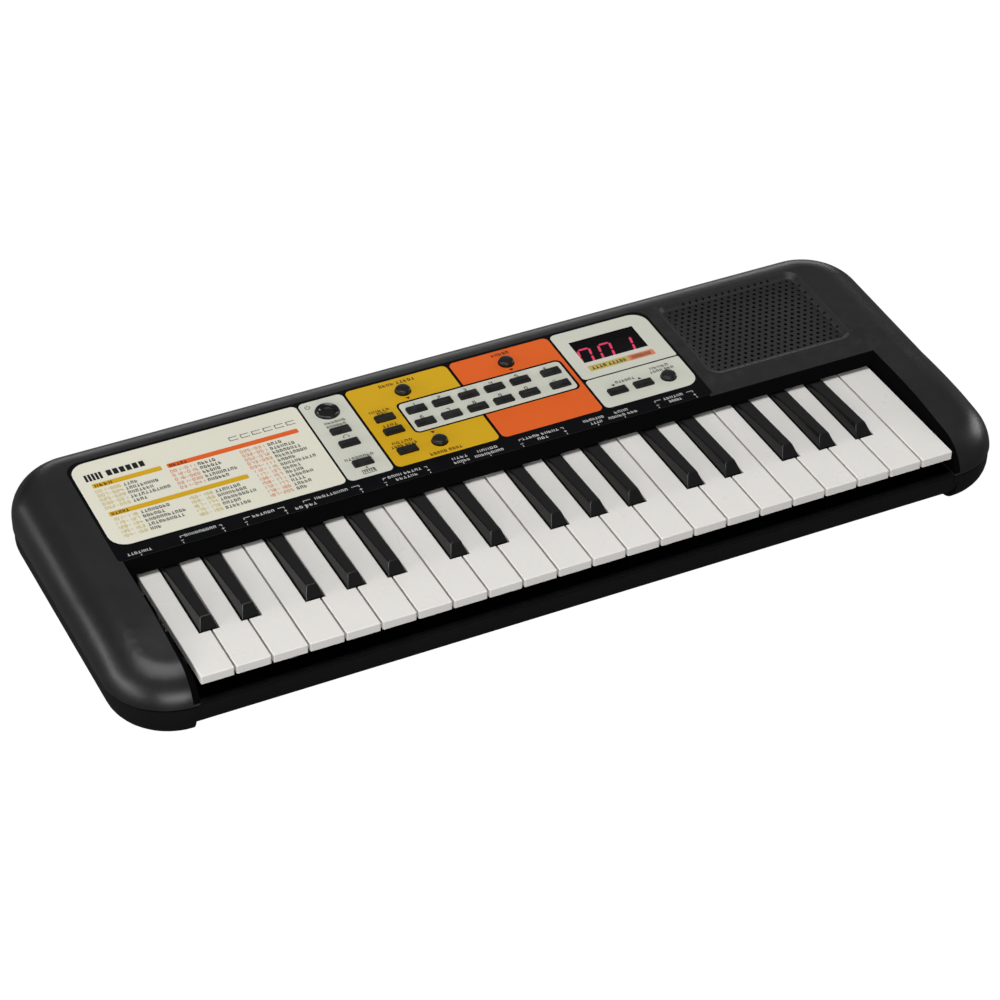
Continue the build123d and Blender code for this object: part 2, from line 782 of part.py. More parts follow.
def black_key(i):
    octave, step = divmod(i, 5)
    x = semi_x(octave, black_semis[step])
    ledge_z = key_top + 1.5  # top of the part that runs under the rear wall
    side_rise = 8            # the leaning sides are drawn up to here, over the key's top
    top_half = black_half - side_rise * black_lean
    # y, z
    side_profile = [
        (black_front, key_low), (black_front, key_top),
        (black_top_front, key_top + black_rise), (black_top_rear, key_top + black_rise_rear),
        (black_top_rear + 1.4, ledge_z), (black_rear, ledge_z),
        (black_rear, key_low), (black_front, key_low),
    ]
    # x, z
    front_profile = [
        (x - black_half, key_low - 1), (x - black_half, key_top),
        (x - top_half, key_top + side_rise), (x + top_half, key_top + side_rise),
        (x + black_half, key_top), (x + black_half, key_low - 1),
        (x - black_half, key_low - 1),
    ]
    with BuildPart() as body:
        with BuildSketch(Plane.YZ.offset(x - 8)):
            with BuildLine():
                Polyline(*side_profile)
            make_face()
        extrude(amount=16)
        with BuildSketch(Plane.XZ.offset(90)):
            with BuildLine():
                Polyline(*front_profile)
            make_face()
        extrude(amount=-120, mode=Mode.INTERSECT)
        top_edges = [
            e for e in body.edges()
            if e.center().Z > key_top + 0.5 and e.center().Y < black_top_rear - 3
        ]
        fillet(top_edges, 0.9)
        # hollow underside
        with BuildSketch(level(key_low)):
            with Locations((x, -38)):
                Rectangle(2 * black_half - 4, 36)
        extrude(amount=key_thick + 1.6, mode=Mode.SUBTRACT)
    return key_on_tail(body.part, x, black_rear, key_top + 2.5)


# --- Key frame, contact board and rubber dome strip -------------------------------
frame_t = 2
contact_board_t = 1.6
contact_width = 426
strip_t = 1.2
contact_board_z = frame_z + frame_t
strip_z = contact_board_z + contact_board_t


def key_frame():
    """Floor with a front lip and, at the rear, a block with the round pivot groove."""
    frame_half = 213.8
    with BuildPart() as frame:
        with BuildSketch(Plane.YZ.offset(-frame_half)):
            with Locations(((-62 + 29.5) / 2, frame_z + frame_t / 2)):
                Rectangle(91.5, frame_t)
            with Locations((28.3, (frame_z + pivot_z) / 2)):
                Rectangle(2.4, pivot_z - frame_z)
            with Locations((24.6, pivot_z)):
                Rectangle(9.8, 9.0)
            with Locations((-61, frame_z + 3)):
                Rectangle(2, 5)
            # groove, and its opening to the front for the tails
            with Locations((pivot_y, pivot_z)):
                Circle(barrel_r + 0.4, mode=Mode.SUBTRACT)
            with Locations((pivot_y - 5, pivot_z)):
                Rectangle(10, 3.7, mode=Mode.SUBTRACT)
        extrude(amount=2 * frame_half)
    return frame.part


def key_contact_board():
    with BuildPart() as board:
        with BuildSketch(level(contact_board_z)):
            with Locations((0, plunger_y)):
                Rectangle(contact_width, 28)
        extrude(amount=contact_board_t)
    return board.part


def contact_rubber():
    """Strip with one tapered dome under each key's plunger."""
    key_count = white_count + black_count
    dome_spots = [(semi_x(n // 12, n % 12), plunger_y) for n in range(key_count)]
    with BuildPart() as rubber:
        with BuildSketch(level(strip_z)):
            with Locations((0, plunger_y)):
                Rectangle(contact_width, 12)
        extrude(amount=strip_t)
        with BuildSketch(level(strip_z + strip_t)):
            with Locations(*dome_spots):
                Circle(3.4)
        extrude(amount=1.8, taper=25)
    return rubber.part


# --- Build every piece ----------------------------------------------------------
for build in (upper_case, speaker_grille, lower_case, battery_door, battery_set, rubber_feet,
              screws, panel_sheet, display_window, display_module, main_board, speaker,
              power_button, key_frame, key_contact_board, contact_rubber):
    put(build(), build.__name__)

put(rect_buttons(number_spots), "number_buttons")
put(rect_buttons(side_spots), "side_buttons")
put(rect_buttons(octave_spots), "octave_buttons")
for name, spot in round_spots.items():
    put(round_button(spot), name)

for i in range(white_count):
    put(white_key(i), f"white_key_{i + 1:02d}")
for i in range(black_count):
    put(black_key(i), f"black_key_{i + 1:02d}")
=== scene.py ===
"""A small electronic keyboard: prints, display digits and materials over its CAD pieces.

The keys run along x, from left (-x) to right (+x); y points to the rear and z up.
The prints lie on the deck, the panel behind the keys, which rises slightly to the rear.
"""
import json
import math
import random

import bmesh
import bpy
from mathutils import Matrix, Vector


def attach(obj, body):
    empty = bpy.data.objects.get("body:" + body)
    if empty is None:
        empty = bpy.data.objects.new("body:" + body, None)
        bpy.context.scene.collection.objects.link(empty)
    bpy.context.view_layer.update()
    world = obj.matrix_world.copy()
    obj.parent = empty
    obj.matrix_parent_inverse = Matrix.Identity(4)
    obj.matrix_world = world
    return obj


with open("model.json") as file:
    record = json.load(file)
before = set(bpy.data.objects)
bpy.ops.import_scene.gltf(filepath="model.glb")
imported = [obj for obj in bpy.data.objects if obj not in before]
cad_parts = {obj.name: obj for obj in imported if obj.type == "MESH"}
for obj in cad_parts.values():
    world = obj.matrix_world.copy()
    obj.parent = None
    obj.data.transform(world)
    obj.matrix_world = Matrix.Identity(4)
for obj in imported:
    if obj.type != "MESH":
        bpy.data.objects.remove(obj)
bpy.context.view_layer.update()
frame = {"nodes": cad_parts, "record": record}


rng = random.Random(37)

# --------------------------------------------------------------------------
# The deck's plane, in millimetres: x along the keys, y the plan position,
# lift the height along the deck's normal.
# --------------------------------------------------------------------------
MM = 0.001
TILT = math.radians(2.5)
COS_TILT, SIN_TILT = math.cos(TILT), math.sin(TILT)
DECK_Y, DECK_Z = -6.1, 49.85  # a point the deck passes through


def deck(x, y, lift):
    along = (y - DECK_Y) / COS_TILT
    return Vector((x, DECK_Y + along * COS_TILT - lift * SIN_TILT,
                   DECK_Z + along * SIN_TILT + lift * COS_TILT)) * MM


# --------------------------------------------------------------------------
# Materials
# --------------------------------------------------------------------------


class Shader:
    """A node material built by helper calls; each returns the socket it makes."""

    def __init__(self, name, principled=True):
        self.material = bpy.data.materials.new(name)
        self.material.use_nodes = True
        self.tree = self.material.node_tree
        self.tree.nodes.clear()
        self.output = self.add("ShaderNodeOutputMaterial")
        if principled:
            self.principled = self.add("ShaderNodeBsdfPrincipled")
            self.feed(self.output.inputs[0], self.principled.outputs[0])
        self.coords = self.add("ShaderNodeTexCoord").outputs["Object"]

    def feed(self, socket, value):
        """Set a socket to a number or an RGB colour, or link another socket to it."""
        if isinstance(value, (int, float)):
            socket.default_value = value
        elif isinstance(value, tuple):
            socket.default_value = (*value, 1.0)
        elif value is not None:
            self.tree.links.new(value, socket)

    def fill(self, node, inputs):
        for key, value in inputs.items():
            self.feed(node.inputs[key], value)

    def add(self, kind, inputs=None, **settings):
        node = self.tree.nodes.new(kind)
        for key, value in settings.items():
            setattr(node, key, value)
        self.fill(node, inputs or {})
        return node

    def surface(self, inputs):
        self.fill(self.principled, inputs)

    def noise(self, scale, detail=3.0, roughness=0.5, distortion=0.0, coords=None):
        return self.add("ShaderNodeTexNoise", {
            "Scale": scale, "Detail": detail, "Roughness": roughness,
            "Distortion": distortion, "Vector": coords or self.coords}).outputs["Fac"]

    def remap(self, value, span, to=(0.0, 1.0)):
        return self.add("ShaderNodeMapRange", {
            0: value, 1: span[0], 2: span[1], 3: to[0], 4: to[1]}).outputs[0]

    def ramp(self, value, stops):
        """Blend between two stops, each a place and a colour."""
        node = self.add("ShaderNodeValToRGB", {0: value})
        for element, (place, color) in zip(node.color_ramp.elements, stops):
            element.position = place
            element.color = (*color, 1.0)
        return node.outputs[0]

    def mix(self, factor, first, second):
        return self.add("ShaderNodeMix", {0: factor, 6: first, 7: second},
                        data_type="RGBA").outputs[2]

    def math(self, operation, first, second=None):
        return self.add("ShaderNodeMath", {0: first, 1: second}, operation=operation).outputs[0]

    def xyz(self, vector):
        return self.add("ShaderNodeSeparateXYZ", {0: vector}).outputs

    def geometry(self, output):
        return self.add("ShaderNodeNewGeometry").outputs[output]

    def bump(self, height, strength, distance=0.0001, under=None):
        return self.add("ShaderNodeBump", {
            "Strength": strength, "Distance": distance, "Height": height,
            "Normal": under}).outputs[0]


def scaled(color, factor):
    return tuple(c * factor for c in color)


def painted_shade_mask(shader, painted_shade_box):
    """A mask that is 1 inside the key opening's limits, given in object space: the area where
    shade is painted.
    """
    x, y, z = shader.xyz(shader.coords)
    less = "LESS_THAN"
    across = shader.math(less, shader.math("ABSOLUTE", x), painted_shade_box["half_width"])
    deep = shader.math(less, y, painted_shade_box["rear"])
    strip = shader.math("MULTIPLY", shader.math(less, x, painted_shade_box["strip_right"]),
                        shader.math(less, y, painted_shade_box["strip_rear"]))
    plan = shader.math("MULTIPLY", across, shader.math("MAXIMUM", deep, strip))
    return shader.math("MULTIPLY", plan, shader.math("GREATER_THAN", z, painted_shade_box["floor"]))


def plastic(name, color, rough, grain, grain_strength, dark=None, spec=0.5, coat=0.0,
            patch=18.0, worn=None, worn_amount=0.0, painted_shade_box=None, flank=None):
    """Moulded plastic: slow colour drift, a fine eroded grain, rubbed edges.

    rough is a range; grain and patch are the noise scales of the grain and the drift;
    the box of the key opening marks where shade is painted, near black and without shine;
    flank is the specular level of steep sides.
    """
    shader = Shader(name)
    drift = shader.noise(patch, detail=4, roughness=0.55)
    base = shader.ramp(drift, [(0.36, dark or scaled(color, 0.86)), (0.62, color)])
    fine = shader.noise(grain, detail=2, roughness=0.6)
    light = tuple(min(1, c * 1.25 + 0.004) for c in color)
    base = shader.mix(shader.remap(fine, span=(0.35, 0.65), to=(0.0, 0.16)), base, light)
    if worn:
        edge = shader.remap(shader.geometry("Pointiness"), span=(0.52, 0.62))
        patches = shader.noise(140, detail=3, roughness=0.6)
        scuff = shader.math("MULTIPLY", edge, shader.remap(patches, span=(0.45, 0.62)))
        base = shader.mix(shader.math("MULTIPLY", scuff, worn_amount), base, worn)
    shine = spec
    if painted_shade_box:
        # painted shade: inside the key opening the case colour is made near black and its shine
        # is removed
        shade_mask = painted_shade_mask(shader, painted_shade_box)
        base = shader.mix(shade_mask, base, (0.0028, 0.0028, 0.0030))
        shine = shader.remap(shade_mask, span=(0.0, 1.0), to=(spec, 0.0))
    if flank is not None:
        upward = shader.xyz(shader.geometry("Normal"))[2]
        shine = shader.remap(upward, span=(0.18, 0.45), to=(flank, spec))
    smear = shader.noise(45, detail=5, roughness=0.6, distortion=0.4)
    shader.surface({"Base Color": base,
                    "Roughness": shader.remap(smear, span=(0.3, 0.7), to=rough),
                    "Specular IOR Level": shine})
    if coat:
        shader.surface({"Coat Weight": coat, "Coat Roughness": 0.12})
    swell = shader.noise(60, detail=2, roughness=0.5)
    waves = shader.bump(swell, strength=0.05, distance=0.0004)
    shader.surface({"Normal": shader.bump(fine, grain_strength, distance=0.00006, under=waves)})
    return shader.material


def film(name, color, dark, spec):
    """The printed ground of a coloured block."""
    return plastic(name, color, dark=dark, rough=(0.46, 0.56), grain=1800,
                   grain_strength=0.10, spec=spec, patch=9)


def ink(name, color, spec):
    return plastic(name, color, rough=(0.45, 0.55), grain=1800, grain_strength=0.08, spec=spec)


# the box below is the key opening, where shade is painted into the case, near black and matt
CASE = plastic("case_satin", (0.0088, 0.0088, 0.0094), rough=(0.31, 0.37), grain=3000,
               grain_strength=0.40, worn=(0.05, 0.05, 0.052), worn_amount=0.25, spec=0.44,
               painted_shade_box={"half_width": 0.21862, "rear": -0.0071, "floor": 0.0285,
                        "strip_right": 0.117, "strip_rear": -0.0055})
PANEL = plastic("panel_satin", (0.0014, 0.0016, 0.0024), rough=(0.34, 0.44), grain=2200,
                grain_strength=0.12, spec=0.06)
IVORY = film("print_ivory", (0.60, 0.605, 0.525), dark=(0.575, 0.58, 0.50), spec=0.25)
IVORY_WARM = film("print_ivory_warm", (0.72, 0.70, 0.585), dark=(0.69, 0.672, 0.56), spec=0.25)
YELLOW = film("print_yellow", (0.615, 0.360, 0.0030), dark=(0.585, 0.335, 0.0025), spec=0.22)
ORANGE = film("print_orange", (0.715, 0.112, 0.0105), dark=(0.685, 0.102, 0.009), spec=0.22)
INK = ink("print_black", (0.006, 0.006, 0.0065), spec=0.2)
INK_GREY = ink("print_grey_ink", (0.030, 0.029, 0.026), spec=0.2)
INK_BROWN = ink("print_brown_ink", (0.040, 0.019, 0.004), spec=0.2)
INK_RUST = ink("print_rust_ink", (0.060, 0.009, 0.004), spec=0.2)
INK_WHITE = ink("print_white_ink", (0.60, 0.61, 0.60), spec=0.3)
TINT_ORANGE = ink("print_orange_tint", (0.66, 0.215, 0.105), spec=0.25)
TINT_YELLOW = ink("print_yellow_tint", (0.56, 0.43, 0.105), spec=0.25)
BUTTON = plastic("button_satin", (0.0050, 0.0050, 0.0046), rough=(0.28, 0.38), grain=2400,
                 grain_strength=0.14, worn=(0.03, 0.03, 0.03), worn_amount=0.4, spec=0.38)
GLOSS = plastic("button_gloss", (0.003, 0.003, 0.0034), rough=(0.16, 0.22), grain=900,
                grain_strength=0.02, spec=0.50, coat=0.12)
WHITE_KEY = plastic("key_white", (0.800, 0.782, 0.748), dark=(0.785, 0.767, 0.730),
                    rough=(0.26, 0.34), grain=1500, grain_strength=0.05, spec=0.45, patch=25)
GRILLE = plastic("grille_satin", (0.0100, 0.0100, 0.0106), rough=(0.44, 0.52), grain=3000,
                 grain_strength=0.35, spec=0.40)
# a darker, duller copy of the case plastic for the lower shell and the battery door; its darker
# colour is painted shade
CASE_LOW_SHADED = plastic("case_lower_painted_shade", (0.0052, 0.0052, 0.0056), rough=(0.42, 0.50), grain=3000,
                   grain_strength=0.35, worn=(0.02, 0.02, 0.02), worn_amount=0.2, spec=0.16)
BLACK_KEY = plastic("key_black", (0.0042, 0.0042, 0.0042), rough=(0.13, 0.17), grain=2200,
                    grain_strength=0.08, spec=0.50, patch=30, flank=0.05)
RUBBER = plastic("foot_rubber", (0.022, 0.022, 0.023), rough=(0.7, 0.85), grain=1400,
                 grain_strength=0.5, spec=0.3)
SILICONE = plastic("dome_silicone", (0.42, 0.42, 0.40), rough=(0.55, 0.7), grain=900,
                   grain_strength=0.2, spec=0.35)
FRAME = plastic("frame_plastic", (0.020, 0.020, 0.022), rough=(0.5, 0.62), grain=1700,
                grain_strength=0.25)


def board():
    """Green lacquered circuit board with black socket bodies at the rear."""
    sockets_y = 0.0846  # metres; the sockets lie behind this
    shader = Shader("board_lacquer")
    tracks = shader.add("ShaderNodeTexBrick", {
        "Scale": 140, "Mortar Size": 0.03, "Vector": shader.coords}).outputs["Fac"]
    base = shader.mix(shader.remap(tracks, span=(0, 1)), (0.012, 0.085, 0.03), (0.03, 0.14, 0.05))
    speckle = shader.remap(shader.noise(500), span=(0.45, 0.6), to=(0, 0.4))
    base = shader.mix(speckle, base, (0.01, 0.06, 0.02))
    behind = shader.math("GREATER_THAN", shader.xyz(shader.coords)[1], sockets_y)
    shader.surface({
        "Base Color": shader.mix(behind, base, (0.006, 0.006, 0.006)),
        "Roughness": shader.remap(shader.noise(80), span=(0.3, 0.7), to=(0.25, 0.4)),
        "Normal": shader.bump(tracks, strength=0.3)})
    return shader.material


def metal(name, color, rough):
    """Metal with brushed streaks."""
    shader = Shader(name)
    mapping = shader.add("ShaderNodeMapping", {"Vector": shader.coords})
    mapping.inputs["Scale"].default_value = (1, 12, 1)
    streak = shader.noise(700, detail=4, roughness=0.6, coords=mapping.outputs[0])
    shader.surface({
        "Base Color": shader.ramp(streak, [(0.3, scaled(color, 0.82)), (0.7, color)]),
        "Metallic": 1.0,
        "Roughness": shader.remap(streak, span=(0.3, 0.7), to=(rough * 0.8, rough * 1.25)),
        "Normal": shader.bump(streak, strength=0.1, distance=0.00005)})
    return shader.material


def smoked():
    """Tinted clear lens that reflects on its outer faces only."""
    shader = Shader("smoked_lens", principled=False)
    tint = shader.ramp(shader.noise(30, detail=2),
                       [(0.3, (0.62, 0.58, 0.60)), (0.7, (0.66, 0.62, 0.64))])
    clear = shader.add("ShaderNodeBsdfTransparent", {0: tint})
    blur = shader.remap(shader.noise(60), span=(0.3, 0.7), to=(0.10, 0.16))
    shine = shader.add("ShaderNodeBsdfGlossy", {"Roughness": blur})
    ripple = shader.bump(shader.noise(90, detail=2), strength=0.02, distance=0.0002)
    fresnel = shader.add("ShaderNodeFresnel", {"IOR": 1.35, "Normal": ripple})
    front = shader.math("SUBTRACT", 1.0, shader.geometry("Backfacing"))
    mixer = shader.add("ShaderNodeMixShader", {
        0: shader.math("MULTIPLY", fresnel.outputs[0], front),
        1: clear.outputs[0], 2: shine.outputs[0]})
    shader.feed(shader.output.inputs[0], mixer.outputs[0])
    return shader.material


def glow(name, color, strength):
    shader = Shader(name)
    drift = shader.noise(900, detail=2)
    bright = tuple(min(1, c * 1.1) for c in color)
    shader.surface({
        "Base Color": shader.mix(drift, color, scaled(color, 0.8)),
        "Emission Color": shader.mix(drift, color, bright),
        "Emission Strength": strength,
        "Roughness": shader.remap(drift, span=(0, 1), to=(0.4, 0.6))})
    return shader.material


BOARD = board()
STEEL = metal("screw_steel", (0.55, 0.55, 0.56), rough=0.32)
CELL = metal("cell_sleeve", (0.24, 0.27, 0.31), rough=0.38)
CONE = plastic("speaker_black", (0.02, 0.02, 0.02), rough=(0.5, 0.7), grain=600,
               grain_strength=0.5)
DISPLAY = plastic("display_body", (0.006, 0.0055, 0.006), rough=(0.35, 0.45), grain=1500,
                  grain_strength=0.1)
LENS = smoked()
LED = glow("segment_lit", (1.0, 0.085, 0.20), strength=1.55)
LED_OFF = plastic("segment_unlit", (0.012, 0.004, 0.006), rough=(0.4, 0.5), grain=900,
                  grain_strength=0.1)

SLOT_MATERIALS = {
    "case": CASE, "panel": PANEL, "smoked_lens": LENS, "display": DISPLAY,
    "circuit_board": BOARD, "contact_rubber": SILICONE, "frame_plastic": FRAME,
    "speaker_metal": CONE, "cells": CELL, "foot_rubber": RUBBER, "screw_steel": STEEL,
    "button": BUTTON, "gloss_button": GLOSS, "white_key": WHITE_KEY, "black_key": BLACK_KEY}
# pieces that differ from the rest of their slot; the lower shell and the battery door get a
# darker case plastic that paints shade
PIECE_MATERIALS = {"lower_case": CASE_LOW_SHADED, "battery_door": CASE_LOW_SHADED, "speaker_grille": GRILLE}

slot_of = {part["node"]: part["material_slot"] for part in frame["record"]["subparts"]}
for name, piece in frame["nodes"].items():
    material = PIECE_MATERIALS.get(name) or SLOT_MATERIALS[slot_of[name]]
    if not piece.material_slots:
        piece.data.materials.append(material)
    for material_slot in piece.material_slots:
        material_slot.material = material

# --------------------------------------------------------------------------
# Outlines, as lists of points in deck millimetres
# --------------------------------------------------------------------------


def rounded_corners(x0, x1, y0, y1, radius, steps=6):
    """Four arcs of a rounded box: front left, front right, rear right, rear left.

    radius is one value, or four in that order.
    """
    radii = (radius,) * 4 if isinstance(radius, (int, float)) else radius
    center_x, center_y = (x0 + x1) / 2, (y0 + y1) / 2
    sides = ((-1, -1), (1, -1), (1, 1), (-1, 1))
    arcs = []
    for (side_x, side_y), r, start in zip(sides, radii, (180, 270, 0, 90)):
        arc_x = center_x + side_x * ((x1 - x0) / 2 - r)
        arc_y = center_y + side_y * ((y1 - y0) / 2 - r)
        angles = [math.radians(start + 90 * i / steps) for i in range(steps + 1)]
        arcs.append([(arc_x + r * math.cos(a), arc_y + r * math.sin(a)) for a in angles])
    return arcs


def box_outline(x0, x1, y0, y1, radius, steps=6):
    return sum(rounded_corners(x0, x1, y0, y1, radius, steps), [])


def centered_box(x, y, width, height, radius, steps):
    return box_outline(x - width / 2, x + width / 2, y - height / 2, y + height / 2,
                       radius, steps)


def circle(x, y, radius=4.6, steps=40):
    """A circle; by default the hole of a round button."""
    angles = [2 * math.pi * i / steps for i in range(steps)]
    return [(x + radius * math.cos(a), y + radius * math.sin(a)) for a in angles]


def cap_hole(x, y):
    return centered_box(x, y, 11.5, 5.7, radius=0.8, steps=3)


# --------------------------------------------------------------------------
# Printed films and strokes
# --------------------------------------------------------------------------


def finish_mesh(bm, name):
    mesh = bpy.data.meshes.new(name)
    bm.to_mesh(mesh)
    bm.free()
    return mesh


def add_object(name, data):
    obj = bpy.data.objects.new(name, data)
    bpy.context.scene.collection.objects.link(obj)
    return obj


def add_print(name, bm, material):
    """Turn a bmesh into an object that rides on the case."""
    bmesh.ops.recalc_face_normals(bm, faces=bm.faces)
    mesh = finish_mesh(bm, name)
    mesh.materials.append(material)
    obj = add_object(name, mesh)
    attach(obj, "case")


def print_sheet(name, outlines, lift, thick, material):
    """Thin printed film from closed outlines; inner outlines are holes."""
    curve = bpy.data.curves.new(name, "CURVE")
    curve.dimensions = "2D"
    curve.fill_mode = "BOTH"
    for outline in outlines:
        spline = curve.splines.new("POLY")
        spline.points.add(len(outline) - 1)
        for point, (x, y) in zip(spline.points, outline):
            point.co = (x, y, 0, 1)
        spline.use_cyclic_u = True
    filled = add_object(name + "_tmp", curve)
    bpy.context.view_layer.update()
    depsgraph = bpy.context.evaluated_depsgraph_get()
    flat = bpy.data.meshes.new_from_object(filled.evaluated_get(depsgraph))
    bpy.data.objects.remove(filled)
    bm = bmesh.new()
    bm.from_mesh(flat)
    bmesh.ops.remove_doubles(bm, verts=bm.verts, dist=1e-5)
    extruded = bmesh.ops.extrude_face_region(bm, geom=list(bm.faces))["geom"]
    top = {v for v in extruded if isinstance(v, bmesh.types.BMVert)}
    for v in bm.verts:
        v.co = deck(v.co.x, v.co.y, lift + (thick if v in top else 0.0))
    add_print(name, bm, material)


class Strokes:
    """Many thin raised shapes gathered into one mesh of print."""

    def __init__(self, lift, thick=0.035):
        self.bm = bmesh.new()
        self.lift, self.thick = lift, thick

    def polygon(self, points):
        low = [self.bm.verts.new(deck(x, y, self.lift)) for x, y in points]
        high = [self.bm.verts.new(deck(x, y, self.lift + self.thick)) for x, y in points]
        self.bm.faces.new(high)
        self.bm.faces.new(low[::-1])
        for i in range(len(points)):
            j = (i + 1) % len(points)
            self.bm.faces.new((low[i], low[j], high[j], high[i]))

    def bar(self, x0, y0, x1, y1):
        self.polygon([(x0, y0), (x1, y0), (x1, y1), (x0, y1)])

    def line(self, start, end, width):
        (x0, y0), (x1, y1) = start, end
        length = math.hypot(x1 - x0, y1 - y0)
        side_x = -(y1 - y0) / length * width / 2
        side_y = (x1 - x0) / length * width / 2
        self.polygon([(x0 - side_x, y0 - side_y), (x1 - side_x, y1 - side_y),
                      (x1 + side_x, y1 + side_y), (x0 + side_x, y0 + side_y)])

    def triangle(self, x, y, up, size=1.15):
        base, tip = size * 0.7, size * 0.8
        if up:
            self.polygon([(x - size, y - base), (x + size, y - base), (x, y + tip)])
        else:
            self.polygon([(x - size, y + base), (x, y - tip), (x + size, y + base)])

    def ring(self, x, y, radius, width, start, end, steps=28):
        """An arc between two angles in degrees."""
        inner, outer = radius - width / 2, radius + width / 2
        for i in range(steps):
            a = math.radians(start + (end - start) * i / steps)
            b = math.radians(start + (end - start) * (i + 1) / steps)
            self.polygon([(x + r * math.cos(angle), y + r * math.sin(angle))
                          for r, angle in ((inner, a), (outer, a), (outer, b), (inner, b))])

    def done(self, name, material, slot="panel"):
        add_print(name, self.bm, material)


# Seven-stroke digits: a top, b and c right, d bottom, e and f left, g middle.
SEGMENTS = {"0": "abcdef", "1": "bc", "2": "abged", "3": "abgcd", "4": "fgbc", "5": "afgcd",
            "6": "afgedc", "7": "abc", "8": "abcdefg", "9": "abcdfg", "-": "g"}


def segment_ends(x, y, width, height):
    """The ends of each segment of a digit with its lower left corner at x, y."""
    right, middle, top = x + width, y + height / 2, y + height
    return {"a": ((x, top), (right, top)), "d": ((x, y), (right, y)),
            "g": ((x, middle), (right, middle)), "f": ((x, middle), (x, top)),
            "b": ((right, middle), (right, top)), "e": ((x, y), (x, middle)),
            "c": ((right, y), (right, middle))}


def digit(strokes, char, x, y, width, height, stroke):
    ends = segment_ends(x, y, width, height)
    for segment in SEGMENTS[char]:
        strokes.line(*ends[segment], stroke)


def words(strokes, x, y, counts, height, step, stroke):
    """Greeked print: plain strokes for the letters of words with these letter counts."""
    width = step * 0.70
    for count in counts:
        for _ in range(count):
            right, top = x + width, y + height
            kind = rng.randrange(5)
            if kind in (0, 1, 3):
                strokes.bar(x, y, x + stroke, top)
                strokes.bar(right - stroke, y, right, y + height * (0.82 if kind == 1 else 1.0))
            if kind in (0, 1):
                strokes.bar(x + stroke, top - stroke, right - stroke, top)
            if kind == 1:
                strokes.bar(x + stroke, y, right - stroke, y + stroke)
            if kind == 2:
                waist = y + height * 0.42
                strokes.bar(x, y, x + stroke, top)
                strokes.bar(x + stroke, waist, right, waist + stroke)
                strokes.bar(x + stroke, y, x + width * 0.9, y + stroke)
            if kind == 4:
                middle = x + width / 2
                strokes.bar(middle - stroke / 2, y + stroke, middle + stroke / 2, top)
                strokes.bar(x, y, right, y + stroke)
            x += step
        x += step * 0.45


def label(strokes, x0, x1, y, counts, height, stroke):
    """Greeked words spread from x0 to x1, standing on the line y."""
    cells = sum(counts) + 0.45 * (len(counts) - 1) - 0.30
    words(strokes, x0, y, counts, height, (x1 - x0) / cells, stroke)


# --------------------------------------------------------------------------
# The coloured blocks
# --------------------------------------------------------------------------
NUMBER_XS = (-32.3, -16.9, -1.5, 13.9, 29.3, 47.7)
NUMBER_YS = (47.1, 35.3)
SIDE_YS = (47.0, 35.2, 17.5)
LEFT_CAPS_X, RIGHT_CAPS_X = -76.5, -50.8
OCTAVE_CAPS = ((73.5, 17.5), (89.1, 17.5))
POWER = (LEFT_CAPS_X, 64.8)
STYLE_BUTTON, START_BUTTON = (-32.3, 64.8), (-32.3, 17.5)
VOICE_BUTTON, INSTRUMENT_BUTTON = (29.3, 64.8), (104.4, 17.7)

# the opening in the song and voice blocks around the keypad
KEYPAD_X0, KEYPAD_X1, KEYPAD_Y0, KEYPAD_Y1 = -41.3, 57.2, 28.0, 56.1


def clipped_block(x0, x1, on_left):
    """A block's outline with the keypad opening cut into its right or left side."""
    front_left, front_right, rear_right, rear_left = rounded_corners(x0, x1, 6.2, 76.5, 3.2)
    cut = [arc[::-1] for arc in rounded_corners(KEYPAD_X0, KEYPAD_X1, KEYPAD_Y0, KEYPAD_Y1, 3.6)]
    if on_left:
        inner = [(x1, KEYPAD_Y0)] + cut[0] + cut[3] + [(x1, KEYPAD_Y1)]
        return front_left + front_right + inner + rear_right + rear_left
    inner = [(x0, KEYPAD_Y1)] + cut[2] + cut[1] + [(x0, KEYPAD_Y0)]
    return front_left + front_right + rear_right + rear_left + inner


# name, outlines, material
BLOCKS = (
    ("list_block", [box_outline(-218.9, -90.5, 5.8, 76.5, (9.6, 3.2, 3.2, 9.0))], IVORY_WARM),
    ("power_block", [box_outline(-89.3, -63.5, 5.8, 76.5, 3.2)]
     + [cap_hole(LEFT_CAPS_X, y) for y in SIDE_YS] + [circle(*POWER, 6.85, 48)], IVORY),
    ("song_block", [clipped_block(-62.0, -2.1, on_left=True)]
     + [cap_hole(RIGHT_CAPS_X, y) for y in SIDE_YS]
     + [circle(*STYLE_BUTTON), circle(*START_BUTTON)], YELLOW),
    ("voice_block", [clipped_block(-0.4, 59.3, on_left=False), circle(*VOICE_BUTTON)], ORANGE),
    ("keypad_block", [box_outline(-40.1, 55.8, 29.2, 54.8, 2.6)]
     + [cap_hole(x, y) for x in NUMBER_XS for y in NUMBER_YS], IVORY),
    ("display_block", [box_outline(60.8, 118.0, 33.3, 76.6, (2.4, 1.2, 9.0, 3.2)),
                       centered_box(87.8, 56.9, 39.2, 19.8, radius=0.2, steps=2)], IVORY),
    ("octave_block", [box_outline(60.8, 118.0, 6.2, 32.3, (3.2, 8.0, 1.2, 2.4))]
     + [cap_hole(*place) for place in OCTAVE_CAPS] + [circle(*INSTRUMENT_BUTTON)], IVORY),
)
for name, outlines, material in BLOCKS:
    print_sheet(name, outlines, lift=0.01, thick=0.05, material=material)

